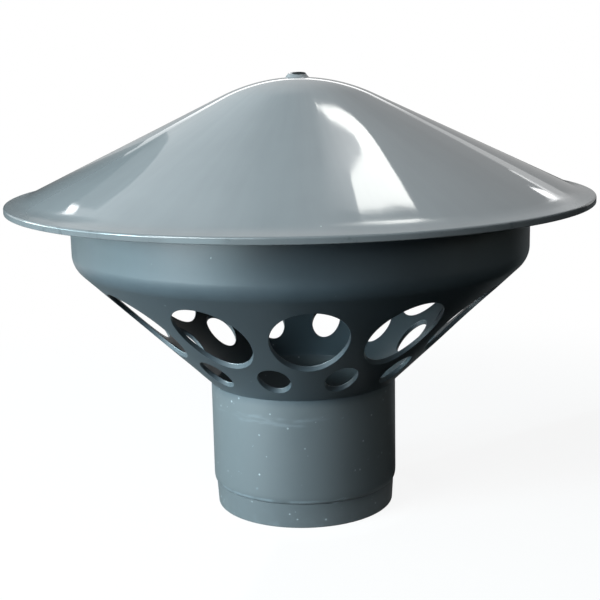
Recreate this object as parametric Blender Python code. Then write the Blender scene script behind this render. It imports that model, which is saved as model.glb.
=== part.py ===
"""Vent pipe cap for a 50 mm soil or vent pipe: a perforated funnel body under a conical rain cap.

Two plastic mouldings. The body is a pipe spigot that widens through a funnel, pierced by a ring of
large and a ring of small holes, into an upright collar. The cap is a shallow cone with a turned-out
rim; a ring under it plugs into the collar, and the collar's top carries it.

Metres, +Z up, origin on the axis at the open end of the spigot. A large hole faces -Y.
"""

import math

import bmesh
import bpy
from mathutils import Matrix, Vector

# Spigot that pushes into the pipe socket
SPIGOT_DIAMETER = 0.0500
SPIGOT_LENGTH = 0.0346
SPIGOT_WALL = 0.0018
LEAD_IN_LENGTH = 0.0068
LEAD_IN_TAPER = 0.0004
LEAD_IN_STEP = 0.00015
LEAD_IN_ROUND_DROP = 0.00045
LEAD_IN_ROUND_HEIGHT = 0.0020

# Funnel and collar
FUNNEL_REACH = 0.0352
FUNNEL_SLOPE = math.radians(44.0)
FUNNEL_WALL = 0.0011
KNEE_RADIUS = 0.0060
COLLAR_HEIGHT = 0.0204
COLLAR_WALL = 0.0014
COLLAR_EDGE_CHAMFER = 0.0003

# Vent holes, moulded straight up through the funnel
LARGE_HOLE_OUTER_BAND = 0.0052
LARGE_HOLE_INNER_BAND = 0.0110
LARGE_HOLE_WEB = 0.0040
SMALL_HOLE_DIAMETER = 0.0082
SMALL_HOLE_BAND = 0.0029

# Rain cap
CAP_OVERHANG = 0.0163
CAP_SLOPE = math.radians(25.4)
CAP_WALL = 0.0016
CAP_TIP_RADIUS = 0.0460
RIM_WIDTH = 0.0041
RIM_SLOPE = math.radians(12.0)
RIM_FILLET = 0.0180
RIM_EDGE_ROUND = 0.0005
LOCATING_RING_WALL = 0.0012
LOCATING_RING_DEPTH = 0.0045
LOCATING_RING_CLEARANCE = 0.0003
SEAT_GAP = 0.0003

# Moulding gate left on the tip of the cap, sheared off aslant, with the sprue's core beside its centre
GATE_DIAMETER = 0.0062
GATE_TOP_DIAMETER = 0.0047
GATE_HEIGHT = 0.00085
GATE_SINK = 0.0004
SHEAR_SLOPE = math.radians(9.5)
SPRUE_DIAMETER = 0.0036
SPRUE_OFFSET = 0.0005
SPRUE_STEP = 0.00012

# Smoothness of the round forms
TURN_STEPS = 96
LARGE_HOLE_SIDES = 32
SMALL_HOLE_SIDES = 20
GATE_SIDES = 20
SPRUE_SIDES = 14
KNEE_STEPS = 5
TIP_STEPS = 6
FILLET_STEPS = 3
EDGE_STEPS = 2
LEAD_IN_STEPS = 3
MERGE_DISTANCE = 0.00001
SHARP_ANGLE = math.radians(25.0)

# Sizes worked out from those above
SPIGOT_RADIUS = SPIGOT_DIAMETER / 2
SPIGOT_BORE_RADIUS = SPIGOT_RADIUS - SPIGOT_WALL
COLLAR_RADIUS = SPIGOT_RADIUS + FUNNEL_REACH
COLLAR_BORE_RADIUS = COLLAR_RADIUS - COLLAR_WALL
FUNNEL_RISE = FUNNEL_REACH * math.tan(FUNNEL_SLOPE)
FUNNEL_WALL_UPRIGHT = FUNNEL_WALL / math.cos(FUNNEL_SLOPE)
COLLAR_FOOT = SPIGOT_LENGTH + FUNNEL_RISE
COLLAR_TOP = COLLAR_FOOT + COLLAR_HEIGHT

LARGE_HOLE_DIAMETER = FUNNEL_REACH - LARGE_HOLE_OUTER_BAND - LARGE_HOLE_INNER_BAND
LARGE_HOLE_CIRCLE = SPIGOT_RADIUS + LARGE_HOLE_INNER_BAND + LARGE_HOLE_DIAMETER / 2
SMALL_HOLE_CIRCLE = SPIGOT_RADIUS + SMALL_HOLE_BAND + SMALL_HOLE_DIAMETER / 2
HOLE_COUNT = int(math.pi / math.asin((LARGE_HOLE_DIAMETER + LARGE_HOLE_WEB) / (2 * LARGE_HOLE_CIRCLE)))
HOLE_STEP = 2 * math.pi / HOLE_COUNT

CAP_RADIUS = COLLAR_RADIUS + CAP_OVERHANG
CAP_WALL_UPRIGHT = CAP_WALL / math.cos(CAP_SLOPE)
RIM_WALL_UPRIGHT = CAP_WALL / math.cos(RIM_SLOPE)
CAP_POINT = COLLAR_TOP + SEAT_GAP + CAP_WALL_UPRIGHT + COLLAR_RADIUS * math.tan(CAP_SLOPE)
RIM_FOOT_RADIUS = CAP_RADIUS - RIM_WIDTH
RIM_FOOT_HEIGHT = CAP_POINT - RIM_FOOT_RADIUS * math.tan(CAP_SLOPE)
RIM_EDGE_HEIGHT = RIM_FOOT_HEIGHT - RIM_WIDTH * math.tan(RIM_SLOPE)
CAP_TIP_HEIGHT = CAP_POINT - CAP_TIP_RADIUS * (1 / math.cos(CAP_SLOPE) - 1)


def plastic(name, colour, roughness):
    """Moulded plastic of one colour."""
    material = bpy.data.materials.new(name)
    material.use_nodes = True
    shader = material.node_tree.nodes["Principled BSDF"]
    shader.inputs["Base Color"].default_value = (*colour, 1.0)
    shader.inputs["Roughness"].default_value = roughness
    shader.inputs["Metallic"].default_value = 0.0
    return material


def fillet(before, corner, after, radius, steps):
    """Points of an arc of the given radius that rounds the corner between two straight runs."""
    corner = Vector(corner)
    back = (Vector(before) - corner).normalized()
    ahead = (Vector(after) - corner).normalized()
    half_angle = back.angle(ahead) / 2
    reach = radius / math.tan(half_angle)
    centre = corner + (back + ahead).normalized() * radius / math.sin(half_angle)
    start = corner + back * reach - centre
    turn = start.angle_signed(corner + ahead * reach - centre)
    points = []
    for step in range(steps + 1):
        arm = start.copy()
        arm.rotate(Matrix.Rotation(-turn * step / steps, 2))
        points.append(tuple(centre + arm))
    return points


def turned(name, outline, material, closed=True):
    """A solid turned about Z from an outline of (radius, height) points.

    The outline runs down the outer side. A closed one rings the bore; an open one starts and
    ends on the axis. It starts half a step round, so that flats and not edges face the axes.
    """
    half_step = math.pi / TURN_STEPS
    sideways = Vector((math.cos(half_step), math.sin(half_step), 0.0))
    shape = bmesh.new()
    points = [shape.verts.new(sideways * radius + Vector((0.0, 0.0, height))) for radius, height in outline]
    for first, second in zip(points, points[1:]):
        shape.edges.new((first, second))
    if closed:
        shape.edges.new((points[-1], points[0]))
    mesh = bpy.data.meshes.new(name)
    shape.to_mesh(mesh)
    shape.free()
    mesh.materials.append(material)
    solid = bpy.data.objects.new(name, mesh)
    bpy.context.collection.objects.link(solid)
    screw = solid.modifiers.new("turn", "SCREW")
    screw.axis = "Z"
    screw.angle = 2 * math.pi
    screw.steps = TURN_STEPS
    screw.render_steps = TURN_STEPS
    screw.use_merge_vertices = True
    screw.merge_threshold = MERGE_DISTANCE
    screw.use_smooth_shade = True
    return solid


def keep_shape(solid):
    """Apply the modifiers and shade the round faces smooth up to the sharp edges."""
    dressed = solid.evaluated_get(bpy.context.evaluated_depsgraph_get())
    mesh = bpy.data.meshes.new_from_object(dressed)
    plain = solid.data
    solid.modifiers.clear()
    solid.data = mesh
    bpy.data.meshes.remove(plain)
    mesh.name = solid.name
    mesh.shade_smooth()
    mesh.set_sharp_from_angle(angle=SHARP_ANGLE)


def tool(name, mesh_builder):
    """An object that only cuts or guides: drawn as wire and left out of renders."""
    mesh = bpy.data.meshes.new(name)
    shape = bmesh.new()
    mesh_builder(shape)
    shape.to_mesh(mesh)
    shape.free()
    cutter = bpy.data.objects.new(name, mesh)
    bpy.context.collection.objects.link(cutter)
    cutter.hide_render = True
    cutter.display_type = "WIRE"
    return cutter


def combine(solid, other, operation):
    """Cut or join another object with an exact Boolean."""
    boolean = solid.modifiers.new(other.name, "BOOLEAN")
    boolean.operation = operation
    boolean.solver = "EXACT"
    boolean.object = other


def body_outline():
    """Section of the body's wall, down the outer side and up the inner side."""
    lead_in_radius = SPIGOT_RADIUS - LEAD_IN_ROUND_DROP
    spigot_end_radius = lead_in_radius - LEAD_IN_STEP - LEAD_IN_TAPER
    outer_knee = (COLLAR_RADIUS, COLLAR_FOOT)
    outer_foot = (SPIGOT_RADIUS, SPIGOT_LENGTH)

    def inner_funnel_height(radius):
        return SPIGOT_LENGTH + FUNNEL_WALL_UPRIGHT + (radius - SPIGOT_RADIUS) * math.tan(FUNNEL_SLOPE)

    inner_knee = (COLLAR_BORE_RADIUS, inner_funnel_height(COLLAR_BORE_RADIUS))
    inner_foot = (SPIGOT_BORE_RADIUS, inner_funnel_height(SPIGOT_BORE_RADIUS))
    collar_top = (COLLAR_RADIUS, COLLAR_TOP)
    bore_top = (COLLAR_BORE_RADIUS, COLLAR_TOP)

    outline = [(COLLAR_RADIUS - COLLAR_EDGE_CHAMFER, COLLAR_TOP)]
    outline.append((COLLAR_RADIUS, COLLAR_TOP - COLLAR_EDGE_CHAMFER))
    outline += fillet(collar_top, outer_knee, outer_foot, KNEE_RADIUS, KNEE_STEPS)
    outline.append(outer_foot)
    for step in range(LEAD_IN_STEPS + 1):
        angle = math.pi / 2 * step / LEAD_IN_STEPS
        drop = LEAD_IN_ROUND_DROP * (1 - math.cos(angle))
        height = LEAD_IN_LENGTH + LEAD_IN_ROUND_HEIGHT * (1 - math.sin(angle))
        outline.append((SPIGOT_RADIUS - drop, height))
    outline.append((lead_in_radius - LEAD_IN_STEP, LEAD_IN_LENGTH - LEAD_IN_STEP))
    outline += [(spigot_end_radius, 0.0), (SPIGOT_BORE_RADIUS, 0.0), inner_foot]
    outline += fillet(inner_foot, inner_knee, bore_top, KNEE_RADIUS - COLLAR_WALL, FILLET_STEPS)
    outline.append(bore_top)
    return outline


def hole_tools(shape, diameter, circle, first_angle, sides):
    """Upright cylinders round the axis, long enough to pass right through the funnel wall."""
    radius = diameter / 2
    bottom = SPIGOT_LENGTH + (circle - radius - SPIGOT_RADIUS) * math.tan(FUNNEL_SLOPE) - FUNNEL_WALL
    top = SPIGOT_LENGTH + (circle + radius - SPIGOT_RADIUS) * math.tan(FUNNEL_SLOPE)
    top += FUNNEL_WALL_UPRIGHT + FUNNEL_WALL
    for number in range(HOLE_COUNT):
        angle = first_angle + number * HOLE_STEP
        place = Matrix.Rotation(angle, 4, "Z") @ Matrix.Translation((0.0, -circle, (bottom + top) / 2))
        bmesh.ops.create_cone(
            shape, cap_ends=True, segments=sides, radius1=radius, radius2=radius,
            depth=top - bottom, matrix=place
        )


def make_body():
    """Spigot, funnel and collar, one moulding with two rings of vent holes."""
    grey = plastic("grey_moulding", (0.085, 0.105, 0.120), 0.38)
    body = turned("vent_body", body_outline(), grey)

    def large_holes(shape):
        hole_tools(shape, LARGE_HOLE_DIAMETER, LARGE_HOLE_CIRCLE, 0.0, LARGE_HOLE_SIDES)

    def small_holes(shape):
        hole_tools(shape, SMALL_HOLE_DIAMETER, SMALL_HOLE_CIRCLE, HOLE_STEP / 2, SMALL_HOLE_SIDES)

    for name, builder in (("large_hole_cutter", large_holes), ("small_hole_cutter", small_holes)):
        combine(body, tool(name, builder), "DIFFERENCE")
    keep_shape(body)
    return body


def cap_underside(radius):
    """Height of the cone's underside at a radius."""
    return CAP_POINT - CAP_WALL_UPRIGHT - radius * math.tan(CAP_SLOPE)


def cap_outline():
    """Section of the cap from the axis down its top face, round the rim and back underneath."""
    outline = []
    tip_centre = CAP_TIP_HEIGHT - CAP_TIP_RADIUS
    for step in range(TIP_STEPS + 1):
        angle = CAP_SLOPE * step / TIP_STEPS
        outline.append((CAP_TIP_RADIUS * math.sin(angle), tip_centre + CAP_TIP_RADIUS * math.cos(angle)))

    tip = (0.0, CAP_POINT)
    rim_foot = (RIM_FOOT_RADIUS, RIM_FOOT_HEIGHT)
    rim_edge = (CAP_RADIUS, RIM_EDGE_HEIGHT)
    rim_bottom = (CAP_RADIUS, RIM_EDGE_HEIGHT - RIM_WALL_UPRIGHT)
    outline += fillet(tip, rim_foot, rim_edge, RIM_FILLET, FILLET_STEPS)
    outline += fillet(rim_foot, rim_edge, rim_bottom, RIM_EDGE_ROUND, EDGE_STEPS)
    outline.append(rim_bottom)

    under_foot_radius = RIM_FOOT_RADIUS - CAP_WALL * math.tan((CAP_SLOPE - RIM_SLOPE) / 2)
    outline.append((under_foot_radius, cap_underside(under_foot_radius)))
    ring_radius = COLLAR_BORE_RADIUS - LOCATING_RING_CLEARANCE
    ring_bore_radius = ring_radius - LOCATING_RING_WALL
    ring_end = COLLAR_TOP - LOCATING_RING_DEPTH
    outline += [(ring_radius, cap_underside(ring_radius)), (ring_radius, ring_end)]
    outline += [(ring_bore_radius, ring_end), (ring_bore_radius, cap_underside(ring_bore_radius))]

    under_radius = CAP_TIP_RADIUS - CAP_WALL
    for step in range(TIP_STEPS):
        angle = CAP_SLOPE * (1 - step / TIP_STEPS)
        outline.append((under_radius * math.sin(angle), tip_centre + under_radius * math.cos(angle)))
    outline.append((0.0, tip_centre + under_radius))
    return outline


def sheared_stub(shape, base_diameter, top_diameter, offset, top, sides):
    """Stub on the tip of the cap whose top slopes down towards the front."""
    foot = CAP_TIP_HEIGHT - GATE_SINK
    place = Matrix.Translation((offset, 0.0, (foot + top) / 2))
    stub = bmesh.ops.create_cone(
        shape, cap_ends=True, segments=sides, radius1=base_diameter / 2, radius2=top_diameter / 2,
        depth=top - foot, matrix=place
    )
    for point in stub["verts"]:
        if point.co.z > (foot + top) / 2:
            point.co.z += point.co.y * math.tan(SHEAR_SLOPE)


def gate(shape):
    """Gate of the mould: a low tapered boss, sheared off aslant."""
    sheared_stub(shape, GATE_DIAMETER, GATE_TOP_DIAMETER, 0.0, CAP_TIP_HEIGHT + GATE_HEIGHT, GATE_SIDES)


def sprue(shape):
    """Core of the sprue, which broke a little above the gate."""
    top = CAP_TIP_HEIGHT + GATE_HEIGHT + SPRUE_STEP
    sheared_stub(shape, SPRUE_DIAMETER, SPRUE_DIAMETER, SPRUE_OFFSET, top, SPRUE_SIDES)


def make_cap():
    """Rain cap with its rim, locating ring and moulding gate, one moulding."""
    pale_grey = plastic("pale_grey_moulding", (0.285, 0.335, 0.355), 0.22)
    cap = turned("rain_cap", cap_outline(), pale_grey, closed=False)
    for name, builder in (("gate_guide", gate), ("sprue_guide", sprue)):
        combine(cap, tool(name, builder), "UNION")
    keep_shape(cap)
    return cap


for leftover in list(bpy.data.objects):
    bpy.data.objects.remove(leftover, do_unlink=True)

assembly = bpy.data.objects.new("vent_cap_assembly", None)
bpy.context.collection.objects.link(assembly)
for piece in (make_body(), make_cap()):
    piece.parent = assembly
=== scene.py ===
"""Looks of the vent pipe cap: a satin dark grey funnel body under a glossy light grey rain cap.

Metres, +Z up, origin on the axis at the open end of the spigot, a large vent hole facing -Y.
"""

import math

import bpy
import numpy as np
from mathutils import Matrix, Vector


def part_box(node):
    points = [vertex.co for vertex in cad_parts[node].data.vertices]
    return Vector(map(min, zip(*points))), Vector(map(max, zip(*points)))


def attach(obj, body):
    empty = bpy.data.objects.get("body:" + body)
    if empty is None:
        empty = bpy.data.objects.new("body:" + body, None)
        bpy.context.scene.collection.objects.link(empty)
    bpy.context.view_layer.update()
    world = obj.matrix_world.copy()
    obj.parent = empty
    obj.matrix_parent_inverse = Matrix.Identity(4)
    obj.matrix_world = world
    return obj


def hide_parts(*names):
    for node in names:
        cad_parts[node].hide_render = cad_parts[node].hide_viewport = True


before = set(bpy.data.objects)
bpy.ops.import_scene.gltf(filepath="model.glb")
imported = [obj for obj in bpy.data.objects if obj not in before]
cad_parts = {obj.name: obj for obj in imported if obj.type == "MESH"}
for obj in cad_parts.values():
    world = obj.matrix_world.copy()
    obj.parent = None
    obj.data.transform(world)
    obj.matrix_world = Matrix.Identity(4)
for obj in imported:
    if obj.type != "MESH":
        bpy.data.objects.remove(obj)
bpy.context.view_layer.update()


# Vent body: spigot, perforated funnel and collar, one injection moulding of dark blue-grey plastic.
# The funnel's holes are moulded straight up along the axis, so each is a circle in plan and its wall
# stands upright. The spigot is pushed into the pipe socket, and the collar's top carries the cap.

body_low, body_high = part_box("vent_body")
COLLAR_RADIUS = (body_high.x - body_low.x) / 2
COLLAR_TOP = body_high.z
SPIGOT_RADIUS = 0.0250
SPIGOT_WALL = 0.0018
SPIGOT_LENGTH = 0.0346
SPIGOT_END_ROUND = 0.00025
LEAD_IN_LENGTH = 0.0068
LEAD_IN_TAPER = 0.0004
LEAD_IN_STEP = 0.00015
LEAD_IN_ROUND_DROP = 0.00045
LEAD_IN_ROUND_HEIGHT = 0.0020
FUNNEL_SLOPE = math.radians(44.0)
FUNNEL_WALL = 0.0011
FUNNEL_FOOT_FILLET = 0.0003
KNEE_RADIUS = 0.0060
COLLAR_WALL = 0.0014
COLLAR_EDGE_ROUND = 0.0003
HOLE_COUNT = 12
LARGE_HOLE_RADIUS = 0.0095
LARGE_HOLE_CIRCLE = 0.0455
SMALL_HOLE_RADIUS = 0.0041
SMALL_HOLE_CIRCLE = 0.0320
HOLE_EDGE_ROUND = 0.00016
CELL_DIVIDE = 0.0362
CELL_DIVIDE_WAVE = 0.0016

FUNNEL_FOOT_RING = 0.0256
FUNNEL_TOP_RING = 0.0568

TURN_STEPS = 288
LEAD_IN_STEPS = 8
CELL_SIDE_STEPS = 16
CELL_RINGS = 5
HOLE_EDGE_STEPS = 4
ARC_CHORD = 0.0006
SUPPORT = 0.00006
LONGEST_RUN = 0.0045
SAME_PLACE = 2e-7

funnel_tangent = math.tan(FUNNEL_SLOPE)
funnel_wall_upright = FUNNEL_WALL / math.cos(FUNNEL_SLOPE)
collar_foot = SPIGOT_LENGTH + (COLLAR_RADIUS - SPIGOT_RADIUS) * funnel_tangent
spigot_bore_radius = SPIGOT_RADIUS - SPIGOT_WALL
collar_bore_radius = COLLAR_RADIUS - COLLAR_WALL


def rounded(corners):
    """Points of a section whose corners are rounded by arcs.

    Each corner is (radius from the axis, height, rounding). An arc of the corner's rounding touches both
    straight runs, and a support point stands just before and just after it, so that smooth shading stays
    on the arc. Arcs are split into chords of about ARC_CHORD, straight runs into pieces of LONGEST_RUN.
    """
    spots = np.array([corner[:2] for corner in corners], float)
    points = [spots[0]]
    roundings = [corner[2] for corner in corners[1:-1]]
    for before, corner, after, rounding in zip(spots, spots[1:], spots[2:], roundings):
        back, ahead = before - corner, after - corner
        back, ahead = back / np.linalg.norm(back), ahead / np.linalg.norm(ahead)
        half = math.acos(np.clip(back @ ahead, -1, 1)) / 2
        reach = rounding / math.tan(half)
        middle = back + ahead
        centre = corner + middle / np.linalg.norm(middle) * rounding / math.sin(half)
        start, end = corner + back * reach - centre, corner + ahead * reach - centre
        turn = math.pi - 2 * half
        share = np.linspace(0, 1, 1 + max(3, round(rounding * turn / ARC_CHORD)))[:, None]
        arc = centre + (start * np.sin((1 - share) * turn) + end * np.sin(share * turn)) / math.sin(turn)
        support = min(SUPPORT, rounding / 2)
        points += [corner + back * (reach + support), *arc, corner + ahead * (reach + support)]
    points.append(spots[-1])
    filled = [points[0]]
    for point in points[1:]:
        pieces = max(1, math.ceil(np.linalg.norm(point - filled[-1]) / LONGEST_RUN))
        filled += list(filled[-1] + (point - filled[-1]) * np.arange(1, pieces + 1)[:, None] / pieces)
    return np.array(filled)


def turned(section):
    """Grid of a section turned about Z: angle 0 faces -Y and angles grow towards +X.

    A point of the section at radius r and height h goes to (r sin a, -r cos a, h).
    """
    angle = np.arange(TURN_STEPS + 1) % TURN_STEPS * (2 * math.pi / TURN_STEPS)
    radius, height = section[:, 0, None], section[:, 1, None]
    return np.stack([radius * np.sin(angle), -radius * np.cos(angle), height + 0 * angle], axis=-1)


def skin(name, grids):
    """One closed mesh from grids of points that share their borders.

    Each grid is (rows, columns, 3), with its rows running to the left of its columns as seen from outside.
    Points in the same place are merged, and quads that lost a corner at a pole become triangles.
    """
    points = np.concatenate([grid.reshape(-1, 3) for grid in grids])
    first = np.cumsum([0] + [grid.shape[0] * grid.shape[1] for grid in grids])
    quads = []
    for start, grid in zip(first, grids):
        number = start + np.arange(grid.shape[0] * grid.shape[1]).reshape(grid.shape[:2])
        round_quad = [number[:-1, :-1], number[:-1, 1:], number[1:, 1:], number[1:, :-1]]
        quads.append(np.stack(round_quad, axis=-1).reshape(-1, 4))
    cells = np.round(points / SAME_PLACE)
    _, kept, merged = np.unique(cells, axis=0, return_index=True, return_inverse=True)
    corners = merged.reshape(-1)[np.concatenate(quads)]
    fresh = corners != np.roll(corners, 1, axis=1)
    sizes = fresh.sum(axis=1)
    whole = sizes > 2
    loops = corners[whole][fresh[whole]]
    starts = np.concatenate([[0], np.cumsum(sizes[whole])[:-1]])
    mesh = bpy.data.meshes.new(name)
    mesh.vertices.add(len(kept))
    mesh.vertices.foreach_set("co", points[kept].astype(np.float32).ravel())
    mesh.loops.add(len(loops))
    mesh.loops.foreach_set("vertex_index", loops.astype(np.int32))
    mesh.polygons.add(int(whole.sum()))
    mesh.polygons.foreach_set("loop_start", starts.astype(np.int32))
    mesh.update(calc_edges=True)
    mesh.validate()
    mesh.shade_smooth()
    piece = bpy.data.objects.new(name, mesh)
    bpy.context.scene.collection.objects.link(piece)
    return piece


def funnel_height(radius, inside):
    """Height of the funnel's outer or inner face at a distance from the axis."""
    return SPIGOT_LENGTH + (radius - SPIGOT_RADIUS) * funnel_tangent + inside * funnel_wall_upright


def on_funnel(plan, inside):
    """Points in plan, lifted onto the funnel's outer or inner face."""
    return np.dstack([plan, funnel_height(np.hypot(plan[..., 0], plan[..., 1]), inside)])


def divide(angle):
    """Distance from the axis of the wavy line between the large and the small holes' cells."""
    return CELL_DIVIDE - CELL_DIVIDE_WAVE * np.cos(HOLE_COUNT * angle)


def funnel_foot_ring(angle):
    """Distance from the axis of the ring where the small holes' cells start, the same at every angle."""
    return FUNNEL_FOOT_RING + 0 * angle


def funnel_top_ring(angle):
    """Distance from the axis of the ring where the large holes' cells end, the same at every angle."""
    return FUNNEL_TOP_RING + 0 * angle


def cell_border(middle, low, high):
    """Closed loop in plan round one hole's cell, which spans one hole step and runs from low to high."""
    half = math.pi / HOLE_COUNT
    steps = TURN_STEPS // HOLE_COUNT
    along = middle + half * np.linspace(-1, 1, steps + 1)
    across = np.linspace(0, 1, CELL_SIDE_STEPS + 1)
    right = low(along[-1]) + (high(along[-1]) - low(along[-1])) * across
    left = low(along[0]) + (high(along[0]) - low(along[0])) * across
    last = np.full(CELL_SIDE_STEPS, along[-1])
    first = np.full(CELL_SIDE_STEPS, along[0])
    angle = np.concatenate([along[:-1], last, along[:0:-1], first, along[:1]])
    radius = np.concatenate([low(along[:-1]), right[:-1], high(along[:0:-1]), left[:0:-1], low(along[:1])])
    return np.stack([radius * np.sin(angle), -radius * np.cos(angle)], axis=-1)


def pierced_cell(middle, circle, hole_radius, low, high, inside):
    """Funnel wall round one hole, from the cell's border to the middle of the hole's upright wall.

    In each upright plane through the hole's axis the funnel leans at its own angle. An arc touches the
    funnel and the hole's wall, and its normal turns from square to the funnel to level.
    """
    centre = np.array([circle * math.sin(middle), -circle * math.cos(middle)])
    border = cell_border(middle, low, high)
    away = border - centre
    away /= np.linalg.norm(away, axis=1, keepdims=True)
    foot = centre + away * hole_radius
    foot_radius = np.hypot(foot[:, 0], foot[:, 1])
    rise = funnel_tangent * (foot * away).sum(axis=1) / foot_radius
    lean = np.arctan(rise) * (-1 if inside else 1)
    reach = HOLE_EDGE_ROUND * (1 + np.sin(lean)) / np.cos(lean)
    corner_height = funnel_height(foot_radius, inside)
    upward = -1 if inside else 1
    start = foot + away * (reach * np.cos(lean))[:, None]
    share = np.concatenate([np.linspace(1, 0, CELL_RINGS + 1)[:-1] ** 1.5, [0.012, 0.0]])[:, None, None]
    face = on_funnel(start + (border - start) * share, inside)
    turn = -lean + (math.pi / 2 + lean) * np.linspace(0, 1, HOLE_EDGE_STEPS + 1)[:, None]
    out = HOLE_EDGE_ROUND * (1 - np.sin(turn))
    height = corner_height + upward * (reach - HOLE_EDGE_ROUND * np.cos(turn))
    edge = np.dstack([foot + away * out[..., None], height])
    edge[0] = face[-1]
    wall_start = corner_height + upward * (reach + SUPPORT)
    wall_middle = (funnel_height(foot_radius, 0) + funnel_height(foot_radius, 1)) / 2
    wall = np.array([np.column_stack([foot, wall_start]), np.column_stack([foot, wall_middle])])
    grid = np.concatenate([face, edge[1:], wall])
    return grid[::-1] if inside else grid


lead_in_radius = SPIGOT_RADIUS - LEAD_IN_ROUND_DROP
lead_in_turn = np.linspace(math.pi / 2, 0, LEAD_IN_STEPS + 1)
lead_in_shoulder = np.column_stack([
    SPIGOT_RADIUS - LEAD_IN_ROUND_DROP * (1 - np.cos(lead_in_turn)),
    LEAD_IN_LENGTH + LEAD_IN_ROUND_HEIGHT * (1 - np.sin(lead_in_turn)),
])
body_grids = [
    turned(rounded([
        (FUNNEL_TOP_RING, funnel_height(FUNNEL_TOP_RING, 0), 0),
        (COLLAR_RADIUS, collar_foot, KNEE_RADIUS),
        (COLLAR_RADIUS, COLLAR_TOP, COLLAR_EDGE_ROUND),
        (collar_bore_radius, COLLAR_TOP, COLLAR_EDGE_ROUND),
        (collar_bore_radius, funnel_height(collar_bore_radius, 1), KNEE_RADIUS - COLLAR_WALL),
        (FUNNEL_TOP_RING, funnel_height(FUNNEL_TOP_RING, 1), 0),
    ])),
    turned(np.concatenate([
        rounded([
            (FUNNEL_FOOT_RING, funnel_height(FUNNEL_FOOT_RING, 1), 0),
            (spigot_bore_radius, funnel_height(spigot_bore_radius, 1), FUNNEL_FOOT_FILLET),
            (spigot_bore_radius, 0, SPIGOT_END_ROUND),
            (lead_in_radius - LEAD_IN_STEP - LEAD_IN_TAPER, 0, SPIGOT_END_ROUND),
            (lead_in_radius - LEAD_IN_STEP, LEAD_IN_LENGTH - LEAD_IN_STEP, LEAD_IN_STEP / 2),
            lead_in_shoulder[0].tolist() + [0],
        ]),
        lead_in_shoulder,
        rounded([
            lead_in_shoulder[-1].tolist() + [0],
            (SPIGOT_RADIUS, SPIGOT_LENGTH, FUNNEL_FOOT_FILLET),
            (FUNNEL_FOOT_RING, funnel_height(FUNNEL_FOOT_RING, 0), 0),
        ]),
    ])),
]
hole_step = 2 * math.pi / HOLE_COUNT
for number in range(HOLE_COUNT):
    large = number * hole_step
    small = large + hole_step / 2
    for inside in (0, 1):
        body_grids.append(pierced_cell(
            large, LARGE_HOLE_CIRCLE, LARGE_HOLE_RADIUS, divide, funnel_top_ring, inside))
        body_grids.append(pierced_cell(
            small, SMALL_HOLE_CIRCLE, SMALL_HOLE_RADIUS, funnel_foot_ring, divide, inside))

vent_shell = skin("vent_shell", body_grids)


class Signal:
    """One output in a material's nodes. Python's arithmetic on it adds Math nodes to the same material."""

    def __init__(self, tree, output=None):
        self.tree, self.output = tree, output

    def node(self, kind, inputs=(), result=0, stops=(), **settings):
        """A node of one type: its settings and ramp stops first, then the values or links of its inputs."""
        node = self.tree.nodes.new(kind)
        for name, value in settings.items():
            setattr(node, name, value)
        for place, colour in stops:
            stop = node.color_ramp.elements.new(place)
            stop.color = (*colour, 1)
        if stops:
            node.color_ramp.elements.remove(node.color_ramp.elements[0])
            node.color_ramp.elements.remove(node.color_ramp.elements[-1])
        for place, value in dict(inputs).items():
            if isinstance(value, Signal):
                self.tree.links.new(value.output, node.inputs[place])
            else:
                node.inputs[place].default_value = value
        return Signal(self.tree, node.outputs[result])

    def math(self, operation, *values):
        return self.node("ShaderNodeMath", enumerate(values), operation=operation)

    def __add__(self, other):
        return self.math("ADD", self, other)

    def __sub__(self, other):
        return self.math("SUBTRACT", self, other)

    def __rsub__(self, other):
        return self.math("SUBTRACT", other, self)

    def __mul__(self, other):
        return self.math("MULTIPLY", self, other)

    __radd__, __rmul__ = __add__, __mul__

    def ramp(self, low, high):
        """0 below low, 1 above high and a smooth step between; a low above high turns it round."""
        return self.node("ShaderNodeMapRange", {0: self, 1: low, 2: high}, interpolation_type="SMOOTHSTEP")

    def band(self, middle, half, soft):
        """1 within half of middle, falling smoothly to 0 over soft."""
        return self.math("ABSOLUTE", self - middle).ramp(half + soft, half)

    def noise(self, scale, detail=2.0, roughness=0.5, stretch=(1, 1, 1), **settings):
        """Noise on this vector, stretched along its axes, as a value of about 0 to 1."""
        vector = self.node("ShaderNodeMapping", {0: self, "Scale": stretch})
        inputs = {"Vector": vector, "Scale": scale, "Detail": detail, "Roughness": roughness}
        return self.node("ShaderNodeTexNoise", inputs, **settings)

    def mix(self, first, second):
        """Colour that turns from first to second as this value goes from 0 to 1."""
        return self.node("ShaderNodeMix", {0: self, 6: first, 7: second}, 2, data_type="RGBA")


def surface(name):
    """A new material: its surface shader, and where a point is: the vector, its x, y, z, angle and radius.

    The angle is 0 at -Y and grows towards +X, in radians; the radius is the distance from the axis.
    """
    material = bpy.data.materials.new(name)
    material.use_nodes = True
    start = Signal(material.node_tree)
    place = start.node("ShaderNodeTexCoord", result="Object")
    x, y, z = (start.node("ShaderNodeSeparateXYZ", {0: place}, axis) for axis in "XYZ")
    angle = start.math("ARCTAN2", x, y * -1)
    radius = start.math("SQRT", x * x + y * y)
    return material, material.node_tree.nodes["Principled BSDF"], place, x, y, z, angle, radius


def finish_surface(shader, **inputs):
    """Set the surface shader's inputs, named with underscores, to values or links."""
    tree = shader.id_data
    for name, value in inputs.items():
        socket = shader.inputs[name.replace("_", " ")]
        if isinstance(value, Signal):
            tree.links.new(value.output, socket)
        else:
            socket.default_value = value


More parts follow.
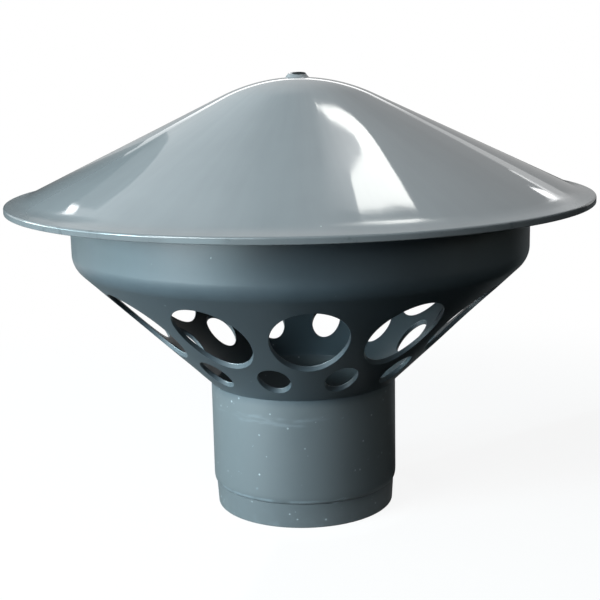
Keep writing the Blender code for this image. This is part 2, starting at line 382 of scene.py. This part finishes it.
BODY_COLOUR = (0.047, 0.064, 0.076, 1)
BODY_DARK = (0.040, 0.055, 0.066, 1)
# Colour of the spigot below the funnel: painted light for the brighter light the spigot catches, with a dust
# film.
BODY_FILM_AND_LIGHT = (0.082, 0.094, 0.101, 1)
BODY_DUST = (0.30, 0.33, 0.35, 1)
# Worn marks, and a painted highlight along the lead-in crease.
BODY_WEAR_AND_HIGHLIGHT = (0.16, 0.19, 0.21, 1)
BODY_ROUGHNESS = 0.56
BODY_SHEEN_ROUGHNESS = 0.29
BODY_IOR = 1.55
LOWER_ZONE_TOP = SPIGOT_LENGTH + 0.0005
LOWER_ZONE_FULL = SPIGOT_LENGTH - 0.0025
CREASE_HEIGHT = LEAD_IN_LENGTH + 0.0006
CREASE_LIT_TURN = -0.55
SCUFF_HEIGHT = SPIGOT_LENGTH * 0.84
SCUFF_TURN = -0.5
SCRATCH_LEAN = 0.9

satin, shader, place, x, y, z, angle, radius = surface("satin_dark_grey_moulding")
cloud = place.noise(90, 3, 0.6)
grain = place.noise(2600, 2, 0.6)
mottle = place.noise(700, 3, 0.65)
below = z.ramp(LOWER_ZONE_TOP, LOWER_ZONE_FULL)
low = z.ramp(SPIGOT_LENGTH + 0.014, SPIGOT_LENGTH - 0.004)
speck = place.node("ShaderNodeTexVoronoi", {"Vector": place, "Scale": 420}, feature="F1")
speck_pick = place.noise(170, 1)
dust = speck.ramp(0.15, 0.07) * speck_pick.ramp(0.66 - low * 0.15, 0.70 - low * 0.15)
flow = place.noise(60, 3, 0.6, stretch=(1, 1, 14))
draw = place.noise(420, 2, 0.6, stretch=(1, 1, 0.05))
# A light band along the lead-in crease, strongest on the lit front left: a painted highlight.
crease_highlight = z.band(CREASE_HEIGHT, 0.00015, 0.00045) * place.noise(240, 2).ramp(0.3, 0.6)
crease_highlight = crease_highlight * (0.25 + angle.band(CREASE_LIT_TURN, 0.4, 0.4) * 0.75)
worn_end = z.ramp(LEAD_IN_LENGTH * 0.9, 0) * place.noise(330, 3).ramp(0.45, 0.75)
leaning = {0: place, "Angle": SCRATCH_LEAN, "Axis": (1, 0.3, 0)}
scratch_lines = place.node("ShaderNodeVectorRotate", leaning, rotation_type="AXIS_ANGLE")
scratches = scratch_lines.noise(700, 1, 0.5, stretch=(0.08, 1, 1)).ramp(0.735, 0.76)
scratches = scratches * place.noise(90, 1).ramp(0.52, 0.6)
scuff_lines = place.noise(160, 2, stretch=(1, 1, 5)).ramp(0.5, 0.7)
scuff_band = z.band(SCUFF_HEIGHT, 0.0009, 0.0012) * scuff_lines * angle.band(SCUFF_TURN, 0.5, 0.4)
# Real wear, scratches and scuffs, with the crease's painted highlight.
wear_and_highlight = crease_highlight * 0.7 + worn_end * 0.25 + scratches * below * 0.5 + scuff_band * 0.35
colour = (cloud * 0.6 + mottle * 0.4).ramp(0.3, 0.7).mix(BODY_DARK, BODY_COLOUR)
# The spigot below the funnel turns lighter: painted light, with a dust film.
colour = (below * (0.75 + cloud * 0.5)).mix(colour, BODY_FILM_AND_LIGHT)
colour = wear_and_highlight.mix(colour, BODY_WEAR_AND_HIGHLIGHT)
colour = (dust * 0.85).mix(colour, BODY_DUST)
roughness = BODY_ROUGHNESS + (mottle - 0.5) * 0.10 + (flow - 0.5) * 0.05 + dust * 0.3
bump = place.node("ShaderNodeBump", {
    "Strength": 0.35, "Distance": 0.00003,
    "Height": grain * 0.6 + mottle * 0.6 + flow * 0.4 + draw * below * 0.5 + dust * 0.8 - scratches * 0.5,
}, "Normal")
finish_surface(shader, Base_Color=colour, Roughness=roughness, Normal=bump, IOR=BODY_IOR,
               Coat_Weight=1.0, Coat_Roughness=BODY_SHEEN_ROUGHNESS, Coat_IOR=BODY_IOR)
vent_shell.data.materials.append(satin)
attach(vent_shell, "root")
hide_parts("vent_body")


# Rain cap: one injection moulding of glossy light grey plastic, a shallow cone with a turned-out rim.
# It was filled through a gate on its tip, sheared off aslant with the sprue's core left standing a little.
# The ring underneath plugs into the collar, and the collar's top carries the cap.

cap_low, cap_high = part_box("rain_cap")
CAP_RADIUS = (cap_high.x - cap_low.x) / 2
CAP_WALL = 0.0016
CAP_SLOPE = math.radians(25.4)
CAP_TIP_RADIUS = 0.0460
CAP_SEAT_GAP = 0.0003
RIM_WIDTH = 0.0041
RIM_SLOPE = math.radians(12.0)
RIM_FILLET = 0.0180
RIM_EDGE_ROUND = 0.0005
RIM_BOTTOM_ROUND = 0.00015
LOCATING_RING_WALL = 0.0012
LOCATING_RING_DEPTH = 0.0045
LOCATING_RING_CLEARANCE = 0.0003
LOCATING_RING_ROUND = 0.0002
GATE_FOOT_RADIUS = 0.0031
GATE_TOP_RADIUS = 0.00235
GATE_HEIGHT = 0.00085
SHEAR_SLOPE = math.radians(9.5)
SPRUE_RADIUS = 0.0018
SPRUE_OFFSET = 0.0005
SPRUE_STEP = 0.00012
TIP_ARC_STEPS = 24
UNDER_ARC_STEPS = 16
GATE_FOOT_MARGIN = 0.0003

cap_tangent = math.tan(CAP_SLOPE)
cap_wall_upright = CAP_WALL / math.cos(CAP_SLOPE)
cap_point = COLLAR_TOP + CAP_SEAT_GAP + cap_wall_upright + COLLAR_RADIUS * cap_tangent
rim_foot_radius = CAP_RADIUS - RIM_WIDTH
rim_foot_height = cap_point - rim_foot_radius * cap_tangent
rim_edge_height = rim_foot_height - RIM_WIDTH * math.tan(RIM_SLOPE)
rim_bottom_height = rim_edge_height - CAP_WALL / math.cos(RIM_SLOPE)
cap_tip_height = cap_point - CAP_TIP_RADIUS * (1 / math.cos(CAP_SLOPE) - 1)
tip_centre_height = cap_tip_height - CAP_TIP_RADIUS


def under_cone(radius):
    """Height of the cone's underside at a distance from the axis."""
    return cap_point - cap_wall_upright - radius * cap_tangent


def tip_arc(arc_radius, first, last, steps):
    """Points of the rounded tip's section between two angles from the axis."""
    turn = np.linspace(first, last, steps + 1)
    return np.column_stack([arc_radius * np.sin(turn), tip_centre_height + arc_radius * np.cos(turn)])


def level(section):
    """A section with no sideways offset and no slant, for the sheared tip's grid."""
    return np.column_stack([section, np.zeros((len(section), 2))])


under_foot_radius = rim_foot_radius - CAP_WALL * math.tan((CAP_SLOPE - RIM_SLOPE) / 2)
ring_radius = collar_bore_radius - LOCATING_RING_CLEARANCE
ring_bore_radius = ring_radius - LOCATING_RING_WALL
ring_end = COLLAR_TOP - LOCATING_RING_DEPTH
under_arc = tip_arc(CAP_TIP_RADIUS - CAP_WALL, 0, CAP_SLOPE, UNDER_ARC_STEPS)
gate_angle = math.asin((GATE_FOOT_RADIUS + GATE_FOOT_MARGIN) / CAP_TIP_RADIUS)
over_arc = tip_arc(CAP_TIP_RADIUS, CAP_SLOPE, gate_angle, TIP_ARC_STEPS)
cap_run = rounded([
    (*under_arc[-1], 0),
    (ring_bore_radius, under_cone(ring_bore_radius), LOCATING_RING_ROUND),
    (ring_bore_radius, ring_end, LOCATING_RING_ROUND),
    (ring_radius, ring_end, LOCATING_RING_ROUND),
    (ring_radius, under_cone(ring_radius), LOCATING_RING_ROUND),
    (under_foot_radius, under_cone(under_foot_radius), RIM_FILLET - CAP_WALL),
    (CAP_RADIUS, rim_bottom_height, RIM_BOTTOM_ROUND),
    (CAP_RADIUS, rim_edge_height, RIM_EDGE_ROUND),
    (rim_foot_radius, rim_foot_height, RIM_FILLET),
    (*over_arc[0], 0),
])
gate_foot_height = tip_centre_height + math.sqrt(CAP_TIP_RADIUS ** 2 - GATE_FOOT_RADIUS ** 2)
gate_top = cap_tip_height + GATE_HEIGHT

# Each row of the gate: radius, height, sideways offset, and share of the shear's slant.
gate_run = np.array([
    (GATE_FOOT_RADIUS + 0.00012, gate_foot_height, 0, 0),
    (GATE_FOOT_RADIUS, gate_foot_height + 0.00005, 0, 0.05),
    (GATE_FOOT_RADIUS - 0.00008, gate_foot_height + 0.00015, 0, 0.15),
    (GATE_TOP_RADIUS + 0.00012, gate_top - 0.00018, 0, 0.95),
    (GATE_TOP_RADIUS + 0.00005, gate_top - 0.00005, 0, 1),
    (GATE_TOP_RADIUS - 0.00001, gate_top, 0, 1),
    (GATE_TOP_RADIUS - 0.00003, gate_top, 0, 1),
    (SPRUE_RADIUS + 0.00001, gate_top, SPRUE_OFFSET, 1),
    (SPRUE_RADIUS, gate_top + 0.00003, SPRUE_OFFSET, 1),
    (SPRUE_RADIUS - 0.00004, gate_top + SPRUE_STEP, SPRUE_OFFSET, 1),
    (SPRUE_RADIUS - 0.00012, gate_top + SPRUE_STEP, SPRUE_OFFSET, 1),
    (SPRUE_RADIUS / 2, gate_top + SPRUE_STEP, SPRUE_OFFSET, 1),
    (0, gate_top + SPRUE_STEP, SPRUE_OFFSET, 1),
])
cap_section = np.concatenate([level(under_arc), level(cap_run), level(over_arc), gate_run])
cap_grid = turned(cap_section)
cap_grid[..., 0] += cap_section[:, 2, None]
cap_grid[..., 2] += cap_section[:, 3, None] * cap_grid[..., 1] * math.tan(SHEAR_SLOPE)
cap_shell = skin("cap_shell", [cap_grid])

CAP_COLOUR = (0.170, 0.176, 0.181, 1)
CAP_DARK = (0.152, 0.158, 0.163, 1)
CAP_DUST = (0.42, 0.43, 0.43, 1)
# Darker rim face: painted shade on the rim's outer edge, with darker nicks in it.
CAP_EDGE_SHADE = (0.075, 0.080, 0.084, 1)
# Near-black top of the sprue's core: painted shade, in a shader of its own.
GATE_CORE_SHADE = (0.012, 0.014, 0.015, 1)
GATE_CORE_ROUGHNESS = 0.9
GATE_CORE_SHINE = 0.05
CAP_ROUGHNESS = 0.045
CAP_IOR = 1.5

gloss, shader, place, x, y, z, angle, radius = surface("glossy_light_grey_moulding")
cloud = place.noise(45, 3, 0.55)
streak = place.node("ShaderNodeCombineXYZ", {0: angle * 9, 1: radius * 18})
streaks = streak.noise(1.0, 4, 0.62)
peel = place.noise(420, 2, 0.5)
fine = place.noise(3000, 2, 0.5)
speck = place.node("ShaderNodeTexVoronoi", {"Vector": place, "Scale": 210}, feature="F1")
dust = speck.ramp(0.075, 0.04) * place.noise(120, 1).ramp(0.68, 0.73)
rim_blur = radius.ramp(CAP_RADIUS - 0.0075, CAP_RADIUS - 0.0045)
rim_face = radius.ramp(CAP_RADIUS - 0.0006, CAP_RADIUS - 0.0002)
nicks = place.noise(240, 3, 0.7).ramp(0.55, 0.68)
from_core = place.math("SQRT", (x - SPRUE_OFFSET) * (x - SPRUE_OFFSET) + y * y)
core = from_core.ramp(SPRUE_RADIUS + 0.0001, SPRUE_RADIUS - 0.0001)
core = core * z.ramp(cap_tip_height + 0.0002, cap_tip_height + 0.0004)
colour = (cloud * 0.5 + streaks * 0.5).ramp(0.3, 0.7).mix(CAP_DARK, CAP_COLOUR)
# The rim's outer face is darkened: painted shade, with nicks in it.
colour = (rim_face * (0.55 + nicks * 0.35)).mix(colour, CAP_EDGE_SHADE)
colour = (dust * 0.7).mix(colour, CAP_DUST)
roughness = CAP_ROUGHNESS + (streaks - 0.5) * 0.03 + rim_blur * 0.12 + dust * 0.4
bump = place.node("ShaderNodeBump", {
    "Strength": 0.10, "Distance": 0.00004, "Height": peel * 0.5 + fine * 0.06 + streaks * 0.4 + dust * 0.5,
}, "Normal")
finish_surface(shader, Base_Color=colour, Roughness=roughness, Normal=bump, IOR=CAP_IOR)
# The top of the sprue's core is near black and hardly shines: painted shade.
dark_core = place.node("ShaderNodeBsdfPrincipled", {
    "Base Color": GATE_CORE_SHADE, "Roughness": GATE_CORE_ROUGHNESS, "Specular IOR Level": GATE_CORE_SHINE,
})
core_mix = place.node("ShaderNodeMixShader", {0: core, 1: Signal(place.tree, shader.outputs[0]), 2: dark_core})
place.tree.links.new(core_mix.output, place.tree.nodes["Material Output"].inputs[0])
cap_shell.data.materials.append(gloss)
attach(cap_shell, "root")
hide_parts("rain_cap")


# Studio: a pale floor that keeps a faint shadow, a white world, and eight soft lamps, most on the left.
# Light and dark panels far away show only in reflections, and a black card stands on the right. The
# camera sees the floor glow white, but reflections see hardly any of that glow.

FLOOR_HALF = 3.0
floor_corners = [(x * FLOOR_HALF, y * FLOOR_HALF, 0) for x, y in ((-1, -1), (1, -1), (1, 1), (-1, 1))]
floor_mesh = bpy.data.meshes.new("studio_floor")
floor_mesh.from_pydata(floor_corners, [], [(0, 1, 2, 3)])
floor = bpy.data.objects.new("studio_floor", floor_mesh)
bpy.context.scene.collection.objects.link(floor)

FLOOR_GLOW = 0.90
FLOOR_FADE = (0.10, 0.26)
FLOOR_REFLECTED_GLOW = 0.03
FLOOR_COLOUR = (0.80, 0.80, 0.80, 1)
FLOOR_BOUNCE = (0.10, 0.10, 0.10, 1)
WHITE = (1, 1, 1, 1)
WORLD_LIGHT = (0.24, 0.27, 0.30, 1)


def ray_kinds(start):
    """Whether a ray comes from the camera, from a reflection or through glass, each as 0 or 1."""
    kinds = ("Is Camera Ray", "Is Glossy Ray", "Is Transmission Ray")
    return [start.node("ShaderNodeLightPath", result=kind) for kind in kinds]


sweep = bpy.data.materials.new("white_floor")
sweep.use_nodes = True
sweep.node_tree.nodes.clear()
start = Signal(sweep.node_tree)
seen, mirrored, through = ray_kinds(start)
spot = start.node("ShaderNodeTexCoord", result="Object")
far = start.node("ShaderNodeVectorMath", {0: spot}, 1, operation="LENGTH").ramp(*FLOOR_FADE)
glow_share = FLOOR_GLOW + far * (1 - FLOOR_GLOW)
glowing = seen * glow_share + start.math("MAXIMUM", mirrored, through) * FLOOR_REFLECTED_GLOW
matt = start.node("ShaderNodeBsdfDiffuse", {0: seen.mix(FLOOR_BOUNCE, FLOOR_COLOUR)})
glow = start.node("ShaderNodeEmission", {0: WHITE, 1: 1.0})
blend = start.node("ShaderNodeMixShader", {0: glowing, 1: matt, 2: glow})
sweep.node_tree.links.new(blend.output, sweep.node_tree.nodes.new("ShaderNodeOutputMaterial").inputs[0])
floor_mesh.materials.append(sweep)

world = bpy.data.worlds.new("studio")
bpy.context.scene.world = world
world.use_nodes = True
start = Signal(world.node_tree)
seen, mirrored, through = ray_kinds(start)
white_here = start.math("MAXIMUM", seen, start.math("MAXIMUM", mirrored, through))
background = world.node_tree.nodes["Background"]
world.node_tree.links.new(white_here.mix(WORLD_LIGHT, WHITE).output, background.inputs["Color"])


def direction(azimuth, elevation):
    """Unit vector to an azimuth (0 towards -Y, 90 towards +X) and elevation, both in degrees."""
    azimuth, elevation = math.radians(azimuth), math.radians(elevation)
    flat = math.cos(elevation)
    return Vector((math.sin(azimuth) * flat, -math.cos(azimuth) * flat, math.sin(elevation)))


STUDIO_CENTRE = Vector((0, 0, 0.085))


def softbox(name, azimuth, elevation, distance, width, height, watts, colour=(1, 1, 1)):
    """Rectangular lamp at a direction and distance from the object's middle, facing it."""
    lamp = bpy.data.lights.new(name, "AREA")
    lamp.shape, lamp.size, lamp.size_y = "RECTANGLE", width, height
    lamp.energy, lamp.color = watts, colour
    box = bpy.data.objects.new(name, lamp)
    way = direction(azimuth, elevation)
    box.location = STUDIO_CENTRE + way * distance
    box.rotation_euler = way.to_track_quat("Z", "Y").to_euler()
    box.visible_camera = False
    bpy.context.scene.collection.objects.link(box)
    return box


softbox("far_left_softbox", 248, 8, 0.85, 0.30, 0.20, 2.5, (0.80, 0.97, 0.92))
softbox("low_left_softbox", 270, 6, 0.85, 0.35, 0.16, 2.5, (0.62, 0.90, 1.0))
softbox("left_softbox", 292, 12, 0.85, 0.22, 0.20, 7.6, (0.62, 0.90, 1.0))
softbox("low_front_softbox", 303, 4, 0.85, 0.30, 0.14, 3.9, (0.86, 0.96, 1.0))
softbox("front_left_softbox", 312, 31, 0.85, 0.32, 0.20, 7.3, (0.84, 0.97, 1.0))
softbox("front_softbox", 334, 30, 0.85, 0.20, 0.20, 1.3, (0.70, 0.92, 1.0))
softbox("front_right_softbox", 20, 20, 0.85, 0.30, 0.20, 0.9, (0.86, 0.97, 1.0))
softbox("right_softbox", 80, 10, 0.85, 0.20, 0.15, 0.5, (0.90, 0.97, 0.90))


def paper(name, rows, colour):
    """Glowing stage surface that the camera doesn't see, from a grid of (point, strength)."""
    points = [tuple(point) for row in rows for point, _ in row]
    strengths = [strength for row in rows for _, strength in row]
    number = np.arange(len(points)).reshape(len(rows), -1)
    faces = np.stack([number[:-1, :-1], number[:-1, 1:], number[1:, 1:], number[1:, :-1]], axis=-1)
    mesh = bpy.data.meshes.new(name)
    mesh.from_pydata(points, [], faces.reshape(-1, 4).tolist())
    mesh.attributes.new("glow", "FLOAT", "POINT").data.foreach_set("value", strengths)
    piece = bpy.data.objects.new(name, mesh)
    bpy.context.scene.collection.objects.link(piece)
    paint = bpy.data.materials.new(name)
    paint.use_nodes = True
    tree = paint.node_tree
    tree.nodes.clear()
    start = Signal(tree)
    strength = start.node("ShaderNodeAttribute", result="Fac", attribute_name="glow")
    lit = start.node("ShaderNodeEmission", {0: (*colour, 1), 1: strength})
    tree.links.new(lit.output, tree.nodes.new("ShaderNodeOutputMaterial").inputs[0])
    mesh.materials.append(paint)
    piece.visible_camera = piece.visible_shadow = False
    return piece


def panel(name, rows, colour=(1, 1, 1), distance=8.0):
    """Panel that only reflections see, far away, from a grid of (azimuth, elevation, strength)."""
    placed = [[(STUDIO_CENTRE + direction(az, el) * distance, glow) for az, el, glow in row] for row in rows]
    piece = paper(name, placed, colour)
    piece.visible_diffuse = piece.visible_transmission = False
    return piece


def level_row(azimuths, elevation, glows):
    """Row of a panel at one elevation; a single strength serves the whole row."""
    glows = glows if isinstance(glows, (list, tuple)) else [glows] * len(azimuths)
    return [(azimuth, elevation, glow) for azimuth, glow in zip(azimuths, glows)]


CARD_AZIMUTHS = np.linspace(-15, 125, 13)
CARD_FOOT = 0.032
CARD_REACH = 0.42
CARD_HEIGHT = 0.36
CARD_LIFT = 0.0006
STRIP_LIFT = 0.0008
STRIP_COLUMNS = 5
card_rings = [(CARD_FOOT, CARD_LIFT), (CARD_REACH, CARD_LIFT), (CARD_REACH, CARD_HEIGHT)]
paper("right_card", [
    [(direction(az, 0) * distance + Vector((0, 0, height)), 0) for az in CARD_AZIMUTHS]
    for distance, height in card_rings
], (0, 0, 0))


def floor_strip(name, azimuths, rings, colour=(1, 1, 1)):
    """Glow on the floor that only reflections see, between azimuths and rings of (distance, strength)."""
    spread = np.linspace(*azimuths, STRIP_COLUMNS)
    lift = Vector((0, 0, STRIP_LIFT))
    rows = [[(direction(az, 0) * distance + lift, glow) for az in spread] for distance, glow in rings]
    piece = paper(name, rows, colour)
    piece.visible_diffuse = piece.visible_transmission = False
    return piece


floor_strip("front_strip", (311, 332), [(0.30, 0.2), (0.45, 1.8), (0.60, 3.4), (1.5, 3.6)], (0.66, 0.92, 1.0))
floor_strip("left_strip", (212, 252), [(0.20, 0.3), (0.40, 0.6)])

rear = [143, 150, 158, 166, 174, 184, 196]
panel("rear_panel", [
    level_row(rear, -3, 0.5),
    level_row(rear, 12.5, 0.5),
    level_row(rear, 18, [0.62, 0.62, 0.62, 0.64, 0.8, 0.9, 0.9]),
    level_row(rear, 34, [0.78, 0.78, 0.78, 0.80, 0.95, 1, 1]),
    level_row(rear, 44, 1),
], distance=8.4)
low = [153.5, 160, 164, 167, 180, 190, 193, 199]
panel("low_panel", [
    level_row(low, 13, [1.0, 1.0, 1.0, 2.4, 2.6, 2.4, 1.3, 0.7]),
    level_row(low, 17.6, [1.2, 1.1, 1.1, 2.6, 2.8, 2.6, 1.3, 0.5]),
], distance=8.0)
panel("low_panel_end", [level_row([152.6, 154.0], 18.6, 5), level_row([152.4, 153.6], 21.5, 5)], distance=7.9)
low_edge = [153.0, 156.5]
panel("low_panel_edge", [level_row(low_edge, 17.4, 2.4), level_row(low_edge, 18.3, 2.4)], distance=7.9)

top = [171, 176, 181, 188, 194, 200]
panel("top_panel", [
    level_row(top, 43, 1),
    level_row(top, 49, [1, 0.85, 0.7, 0.7, 0.85, 1]),
    level_row(top, 56, [1, 0.8, 0.6, 0.6, 0.8, 1]),
    level_row(top, 64, [1, 0.8, 0.6, 0.6, 0.8, 1]),
], distance=8.4)

bright_soft = [(169.6, 51.8), (165.8, 51.4), (163.1, 50.0), (161.5, 49.3), (160.9, 50.0),
               (161.3, 51.2), (162.9, 53.0), (164.2, 54.2), (164.4, 54.9), (163.6, 56.5)]
bright_middle = [(169.5, 52.0), (165.4, 50.5), (162.3, 48.3), (161.0, 47.4), (160.1, 47.6),
                 (159.8, 48.7), (160.1, 50.2), (160.2, 51.3), (159.9, 52.5), (159.6, 54.6)]
bright_sharp = [(169.4, 52.3), (165.0, 49.6), (161.9, 46.6), (160.5, 45.4), (159.3, 45.3),
                (158.3, 46.2), (157.4, 47.4), (156.3, 48.4), (155.3, 49.3), (154.3, 50.1)]
faded_side = [(171.0, 52.2), (171.4, 52.8), (171.6, 53.4), (171.6, 54.0), (171.6, 54.8),
              (171.6, 55.4), (171.6, 56.0), (171.8, 56.8), (171.8, 57.6), (171.8, 58.4)]
faded_glow = [1.4, 2.4, 3.4, 3.6, 3.6, 3.8, 3.6, 3.0, 2.6, 2.2]
BRIGHT_GLOW = 9
bright_edges = (bright_soft, bright_middle, bright_sharp)
panel("bright_panel", [[(*at, BRIGHT_GLOW) for at in edge] for edge in bright_edges], (1, 1, 0.96))
panel("faded_panel", [
    [(*at, 1) for at in faded_side],
    [(*at, glow) for at, glow in zip(bright_soft, faded_glow)],
], (1, 1, 1), distance=8.1)

wedge_line = [(194.3, 18.2), (196.5, 20.5), (198.2, 22.1), (200.5, 24.4), (202.4, 25.7), (204.6, 26.8)]
wedge_edge = [(195.2, 20.0), (198.2, 27.4), (200.5, 31.6), (201.9, 33.4), (203.5, 34.4), (205.8, 33.8)]
panel("dark_panel", [
    level_row([190.5, 193, 197, 202, 207, 214], -3, [0.3, 0.1, 0.02, 0.02, 0.02, 0.02]),
    [(*at, glow) for at, glow in zip(wedge_line, [0.3, 0.12, 0.06, 0.06, 0.06, 0.06])],
], distance=8.1)
panel("grey_panel", [
    [(*at, glow) for at, glow in zip(wedge_line, [0.3, 0.2, 0.22, 0.22, 0.22, 0.22])],
    [(*at, 0.36) for at in wedge_edge],
], distance=8.1)
panel("small_panel", [[(205.6, 27.4, 5), (203.9, 25.4, 5)], [(205.9, 29.9, 5), (204.9, 28.8, 5)]])


# Camera: at the photograph's height and distance, a little to the left of the front, tipped down and
# rolled as it was there.

CAMERA_PLACE = (-0.01173, -0.31979, 0.1218)
CAMERA_TURN = math.radians(-2.02)
CAMERA_TILT = math.radians(90 - 11.70)
CAMERA_ROLL = math.radians(-1.21)
SENSOR_WIDTH_MM = 36.0
LENS_MM = 72.735
camera_data = bpy.data.cameras.new("camera")
camera_data.sensor_width, camera_data.lens = SENSOR_WIDTH_MM, LENS_MM
camera = bpy.data.objects.new("camera", camera_data)
turn = Matrix.Rotation(CAMERA_TURN, 4, "Z") @ Matrix.Rotation(CAMERA_TILT, 4, "X")
turn = turn @ Matrix.Rotation(CAMERA_ROLL, 4, "Z")
camera.matrix_world = Matrix.Translation(CAMERA_PLACE) @ turn
bpy.context.scene.collection.objects.link(camera)
bpy.context.scene.camera = camera
bpy.context.scene.view_settings.view_transform = "Standard"
